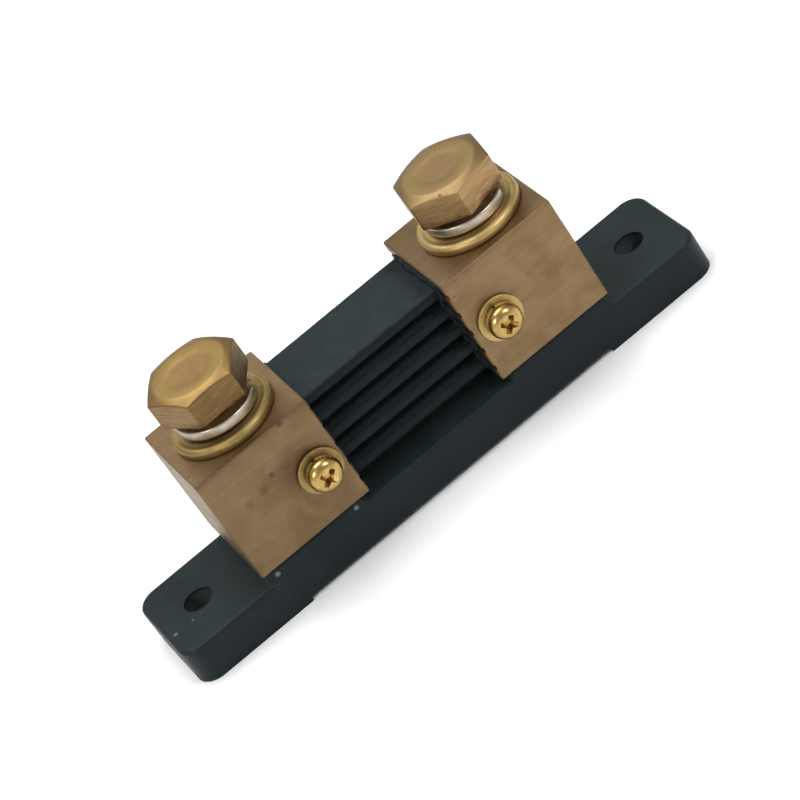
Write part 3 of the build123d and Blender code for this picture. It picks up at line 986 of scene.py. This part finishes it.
# %% Plate sweep
plate_tree, given, out, plate_ids = new_tree(
    "lacquered_plate", "Length", "Width", "Thickness", "Edge Radius", "Ripple", "Joint Ripple", "Seed"
)
half_length = maths(plate_tree, "MULTIPLY", given.outputs["Length"], 0.5)
start = new_node(plate_tree, "ShaderNodeCombineXYZ")
end = new_node(plate_tree, "ShaderNodeCombineXYZ")
line = new_node(plate_tree, "GeometryNodeCurvePrimitiveLine")
along = new_node(plate_tree, "GeometryNodeResampleCurve", {"Count": 120})
section = new_node(plate_tree, "GeometryNodeCurvePrimitiveQuadrilateral")
rounded = new_node(plate_tree, "GeometryNodeFilletCurve", {"Count": 5}, mode="POLY")
edge = new_node(plate_tree, "GeometryNodeResampleCurve", {"Length": 0.30 * MM}, mode="LENGTH")
upright_normals = new_node(plate_tree, "GeometryNodeSetCurveNormal", mode="Z_UP")
sweep = new_node(plate_tree, "GeometryNodeCurveToMesh", {"Fill Caps": True})
link_all(
    plate_tree,
    (maths(plate_tree, "MULTIPLY", half_length, -1.0), start.inputs["X"]),
    (half_length, end.inputs["X"]),
    (start.outputs["Vector"], line.inputs["Start"]),
    (end.outputs["Vector"], line.inputs["End"]),
    (line.outputs["Curve"], along.inputs["Curve"]),
    (along.outputs["Curve"], upright_normals.inputs["Curve"]),
    (given.outputs["Width"], section.inputs["Width"]),
    (given.outputs["Thickness"], section.inputs["Height"]),
    (section.outputs["Curve"], rounded.inputs["Curve"]),
    (given.outputs["Edge Radius"], rounded.inputs["Radius"]),
    (rounded.outputs["Curve"], edge.inputs["Curve"]),
    (upright_normals.outputs["Curve"], sweep.inputs["Curve"]),
    (edge.outputs["Curve"], sweep.inputs["Profile Curve"]),
)


# %% Lumpy skin, shared by plates and beads
def lumpy(tree, geometry, depth, seed, scale=600.0):
    """Pushes a mesh in and out along its normals by two layers of noise; returns geometry."""
    position = new_node(tree, "GeometryNodeInputPosition")
    normal = new_node(tree, "GeometryNodeInputNormal")
    total = None
    for size, share in ((scale, 1.0), (scale * 3.1, 0.45)):
        values = {"Scale": size, "Detail": 2.0}
        texture = new_node(tree, "ShaderNodeTexNoise", values, noise_dimensions="4D")
        link_all(tree, (position.outputs["Position"], texture.inputs["Vector"]), (seed, texture.inputs["W"]))
        centred = maths(tree, "MULTIPLY", maths(tree, "SUBTRACT", texture.outputs["Fac"], 0.5), 2.0 * share)
        total = centred if total is None else maths(tree, "ADD", total, centred)
    push = new_node(tree, "ShaderNodeVectorMath", operation="SCALE")
    moved = new_node(tree, "GeometryNodeSetPosition")
    link_all(
        tree,
        (normal.outputs["Normal"], push.inputs["Vector"]),
        (maths(tree, "MULTIPLY", total, depth), push.inputs["Scale"]),
        (geometry, moved.inputs["Geometry"]),
        (push.outputs["Vector"], moved.inputs["Offset"]),
    )
    return moved.outputs["Geometry"]


# %% Ripple near the joints
where = new_node(plate_tree, "GeometryNodeInputPosition")
parts = new_node(plate_tree, "ShaderNodeSeparateXYZ")
near_joint = new_node(plate_tree, "ShaderNodeMapRange", interpolation_type="SMOOTHSTEP")
link_all(
    plate_tree,
    (where.outputs["Position"], parts.inputs["Vector"]),
    (maths(plate_tree, "ABSOLUTE", parts.outputs["X"]), near_joint.inputs["Value"]),
    (maths(plate_tree, "MULTIPLY", half_length, 0.62), near_joint.inputs["From Min"]),
    (maths(plate_tree, "MULTIPLY", half_length, 0.86), near_joint.inputs["From Max"]),
    (given.outputs["Ripple"], near_joint.inputs["To Min"]),
    (given.outputs["Joint Ripple"], near_joint.inputs["To Max"]),
)
rippled = lumpy(plate_tree, sweep.outputs["Mesh"], near_joint.outputs["Result"], given.outputs["Seed"])
end_tree(plate_tree, rippled, given, out)
print("plate tree", len(plate_tree.nodes), "nodes")

# %% Plates
for number in range(1, 6):
    low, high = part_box(f"resistor_plate_{number}")
    size = high - low
    mesh = grown(f"plate_{number}", plate_tree, plate_ids, {
        "Length": size.x,
        "Width": size.y,
        "Thickness": size.z,
        "Edge Radius": 0.55 * MM,
        "Ripple": 0.05 * MM,
        "Joint Ripple": 0.2 * MM,
        "Seed": 3.7 * number,
        "Material": lacquer_finish.material,
    })
    move = Matrix.Translation((low + high) / 2)
    plate = placed(f"plate_{number}", mesh, move, "painted_plate", "root", f"resistor_plate_{number}")
    print(plate.name, len(mesh.polygons), "faces", [round(v / MM, 2) for v in plate.dimensions])

# %% [markdown]
# ## Solder beads
# Where a plate enters its slot the solder left a bead all round, and the lacquer ran over it. A bead is a
# tube bent round the plate's outline and then made lumpy. The tree strings five outlines down each block's
# face at the plates' pitch, so all ten beads come from one tree and each is rough in its own way.

# %% Bead tree
LUMP_SCALE = 260.0     # lower gives broader lumps
UPRIGHT = (math.radians(90), 0, math.radians(90))     # stands an outline up, its width along Y
bead_tree, given, out, bead_ids = new_tree(
    "solder_beads", "Width", "Thickness", "Bead Radius", "Lumps", "Pitch", "Seed", counts=["Count"]
)
outline = new_node(bead_tree, "GeometryNodeCurvePrimitiveQuadrilateral")
eased = new_node(bead_tree, "GeometryNodeFilletCurve", {"Count": 4, "Radius": 0.6 * MM}, mode="POLY")
fine_outline = new_node(bead_tree, "GeometryNodeResampleCurve", {"Length": 0.2 * MM}, mode="LENGTH")
tube = new_node(bead_tree, "GeometryNodeCurvePrimitiveCircle", {"Resolution": 12})
bend = new_node(bead_tree, "GeometryNodeCurveToMesh")
stand = new_node(bead_tree, "GeometryNodeTransform", {"Rotation": UPRIGHT})
spots = new_node(bead_tree, "GeometryNodeMeshLine")
step = new_node(bead_tree, "ShaderNodeCombineXYZ")
string = new_node(bead_tree, "GeometryNodeInstanceOnPoints")
solid = new_node(bead_tree, "GeometryNodeRealizeInstances")
link_all(
    bead_tree,
    (given.outputs["Width"], outline.inputs["Width"]),
    (given.outputs["Thickness"], outline.inputs["Height"]),
    (outline.outputs["Curve"], eased.inputs["Curve"]),
    (eased.outputs["Curve"], fine_outline.inputs["Curve"]),
    (given.outputs["Bead Radius"], tube.inputs["Radius"]),
    (fine_outline.outputs["Curve"], bend.inputs["Curve"]),
    (tube.outputs["Curve"], bend.inputs["Profile Curve"]),
    (bend.outputs["Mesh"], stand.inputs["Geometry"]),
    (given.outputs["Count"], spots.inputs["Count"]),
    (maths(bead_tree, "MULTIPLY", given.outputs["Pitch"], -1.0), step.inputs["Z"]),
    (step.outputs["Vector"], spots.inputs["Offset"]),
    (spots.outputs["Mesh"], string.inputs["Points"]),
    (stand.outputs["Geometry"], string.inputs["Instance"]),
    (string.outputs["Instances"], solid.inputs["Geometry"]),
)
depth, seed = given.outputs["Lumps"], given.outputs["Seed"]
rough_beads = lumpy(bead_tree, solid.outputs["Geometry"], depth, seed, LUMP_SCALE)
end_tree(bead_tree, rough_beads, given, out)
print("bead tree", len(bead_tree.nodes), "nodes")

# %% Beads on both blocks
first_low, first_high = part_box("resistor_plate_1")
second_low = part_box("resistor_plate_2")[0]
# how far the bead stands off the block's face, its radius and its lumps in millimetres, then its seed
BEADS = (("left", 0.15, 0.42, 0.28, 1.3), ("right", 0.1, 0.7, 0.8, 8.1))
for side, inset, radius, lumps, seed in BEADS:
    block_low, block_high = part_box(f"{side}_terminal_block")
    face_x = block_high.x + inset * MM if side == "left" else block_low.x - inset * MM
    mesh = grown(f"{side}_beads", bead_tree, bead_ids, {
        "Width": first_high.y - first_low.y,
        "Thickness": first_high.z - first_low.z,
        "Bead Radius": radius * MM,
        "Lumps": lumps * MM,
        "Pitch": first_low.z - second_low.z,
        "Count": 5,
        "Seed": seed,
        "Material": lacquer_finish.material,
    })
    middle = (first_low + first_high) / 2
    move = Matrix.Translation((face_x, middle.y, middle.z))
    beads = placed(f"{side}_beads", mesh, move, "painted_plate", "root")
    print(beads.name, len(mesh.polygons), "faces", [round(v / MM, 2) for v in beads.dimensions])

# %% [markdown]
# ## Before finishing
# The box round everything that is shown, leaving out the floor and lamps. The visual model
# must stay inside the frame's box.

# %% Sizes
low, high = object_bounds()
